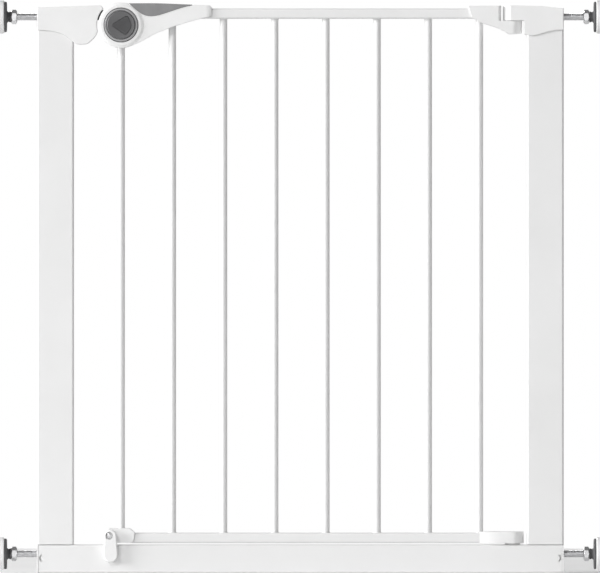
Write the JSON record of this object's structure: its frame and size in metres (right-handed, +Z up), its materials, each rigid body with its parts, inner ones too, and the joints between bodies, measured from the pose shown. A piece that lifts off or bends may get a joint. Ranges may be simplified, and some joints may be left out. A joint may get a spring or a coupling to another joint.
{
  "type": "pressure-fit safety gate",
  "caption": "White metal safety gate that clamps between two walls, with a swinging barred door, a lift handle with a push button, and screw-out wall pads.",
  "frame": {"origin": "middle of the sill's underside, on the floor line, halfway between the walls", "axes": "+X from the latch side to the hinge side, -Y the front, +Z up"},
  "size_m": [0.8206, 0.045, 0.7765],
  "materials": {
    "white_paint": "white powder coat, satin, fine orange peel",
    "white_plastic": "white moulded plastic, fine satin texture",
    "grey_plastic": "mid grey soft-touch plastic",
    "light_grey_plastic": "light grey satin plastic",
    "dark_grey_plastic": "dark grey moulded plastic",
    "rubber": "black-grey rubber, matt",
    "zinc": "bright zinc-plated steel",
    "spring_steel": "spring steel"
  },
  "bodies": {
    "frame": {"sill_tube": "white_paint", "sill_plug_left": "white_plastic", "sill_plug_right": "white_plastic", "post_tube_left": "white_paint", "post_tube_right": "white_paint", "latch_cap": "white_plastic", "hinge_cap": "white_plastic", "strike_plate": "zinc", "post_bush_left": "zinc", "post_bush_right": "zinc", "sill_bush_left": "zinc", "sill_bush_right": "zinc", "cap_screw_left": "zinc", "cap_screw_right": "zinc", "hinge_pin_upper": "zinc", "hinge_pin_lower": "zinc", "hinge_washer": "white_plastic"},
    "door": {"top_rail": "white_paint", "bottom_rail": "white_paint", "bar_1": "white_paint", "bar_2": "white_paint", "bar_3": "white_paint", "bar_4": "white_paint", "bar_5": "white_paint", "bar_6": "white_paint", "bar_7": "white_paint", "bar_8": "white_paint", "hinge_bracket": "white_plastic", "hinge_foot": "white_plastic", "latch_foot": "white_plastic", "stop_tab_pin": "zinc", "latch_housing": "white_plastic", "handle_pivot": "zinc", "bolt_spring": "spring_steel"},
    "handle": {"handle_front_shell": "white_plastic", "handle_rear_shell": "white_plastic", "grip_inlay": "grey_plastic", "bezel_ring": "light_grey_plastic", "button_spring": "spring_steel"},
    "button": {"thumb_button": "dark_grey_plastic"},
    "bolt": {"latch_bolt": "dark_grey_plastic"},
    "stop_tab": {"stop_tab": "white_plastic"},
    "upper_left_pad": {"upper_left_pad": "rubber", "upper_left_wall_cup": "white_plastic"},
    "upper_left_spindle": {"upper_left_spindle": "zinc", "upper_left_nut": "zinc"},
    "upper_right_pad": {"upper_right_pad": "rubber", "upper_right_wall_cup": "white_plastic"},
    "upper_right_spindle": {"upper_right_spindle": "zinc", "upper_right_nut": "zinc"},
    "lower_left_pad": {"lower_left_pad": "rubber", "lower_left_wall_cup": "white_plastic"},
    "lower_left_spindle": {"lower_left_spindle": "zinc", "lower_left_nut": "zinc"},
    "lower_right_pad": {"lower_right_pad": "rubber", "lower_right_wall_cup": "white_plastic"},
    "lower_right_spindle": {"lower_right_spindle": "zinc", "lower_right_nut": "zinc"}
  },
  "joints": [
    {"name": "door_swing", "type": "hinge", "parent": "frame", "child": "door", "pos_m": [0.2876, 0, 0.4], "axis": [0, 0, 1], "range_deg": [0, 90]},
    {"name": "handle_lift", "type": "hinge", "parent": "door", "child": "handle", "pos_m": [-0.2429, 0, 0.7428], "axis": [0, -1, 0], "range_deg": [0, 25], "stiffness_Nm_per_rad": 0.6, "springref_deg": -14.32},
    {"name": "bolt_slide", "type": "slide", "parent": "door", "child": "bolt", "axis": [1, 0, 0], "range_m": [0, 0.009], "deforming": ["bolt_spring"]},
    {"name": "button_press", "type": "slide", "parent": "handle", "child": "button", "axis": [0, 1, 0], "range_m": [0, 0.0016], "stiffness_N_per_m": 600, "springref_m": -0.002, "deforming": ["button_spring"]},
    {"name": "stop_tab_turn", "type": "hinge", "parent": "door", "child": "stop_tab", "pos_m": [-0.2589, -0.017, 0.0507], "axis": [0, -1, 0], "range_deg": [0, 90]},
    {"name": "upper_left_slide", "type": "slide", "parent": "frame", "child": "upper_left_pad", "axis": [1, 0, 0], "range_m": [0, 0.026]},
    {"name": "upper_left_turn", "type": "hinge", "parent": "upper_left_pad", "child": "upper_left_spindle", "pos_m": [-0.375, 0, 0.754], "axis": [1, 0, 0], "range_deg": [0, 6240]},
    {"name": "upper_right_slide", "type": "slide", "parent": "frame", "child": "upper_right_pad", "axis": [-1, 0, 0], "range_m": [0, 0.026]},
    {"name": "upper_right_turn", "type": "hinge", "parent": "upper_right_pad", "child": "upper_right_spindle", "pos_m": [0.375, 0, 0.754], "axis": [-1, 0, 0], "range_deg": [0, 6240]},
    {"name": "lower_left_slide", "type": "slide", "parent": "frame", "child": "lower_left_pad", "axis": [1, 0, 0], "range_m": [0, 0.026]},
    {"name": "lower_left_turn", "type": "hinge", "parent": "lower_left_pad", "child": "lower_left_spindle", "pos_m": [-0.375, 0, 0.026], "axis": [1, 0, 0], "range_deg": [0, 6240]},
    {"name": "lower_right_slide", "type": "slide", "parent": "frame", "child": "lower_right_pad", "axis": [-1, 0, 0], "range_m": [0, 0.026]},
    {"name": "lower_right_turn", "type": "hinge", "parent": "lower_right_pad", "child": "lower_right_spindle", "pos_m": [0.375, 0, 0.026], "axis": [-1, 0, 0], "range_deg": [0, 6240]}
  ],
  "couplings": [
    {"joint": "bolt_slide", "follows": "handle_lift", "m_per_rad": 0.020626},
    {"joint": "upper_left_turn", "follows": "upper_left_slide", "rad_per_m": 4188.8},
    {"joint": "upper_right_turn", "follows": "upper_right_slide", "rad_per_m": 4188.8},
    {"joint": "lower_left_turn", "follows": "lower_left_slide", "rad_per_m": 4188.8},
    {"joint": "lower_right_turn", "follows": "lower_right_slide", "rad_per_m": 4188.8}
  ]
}
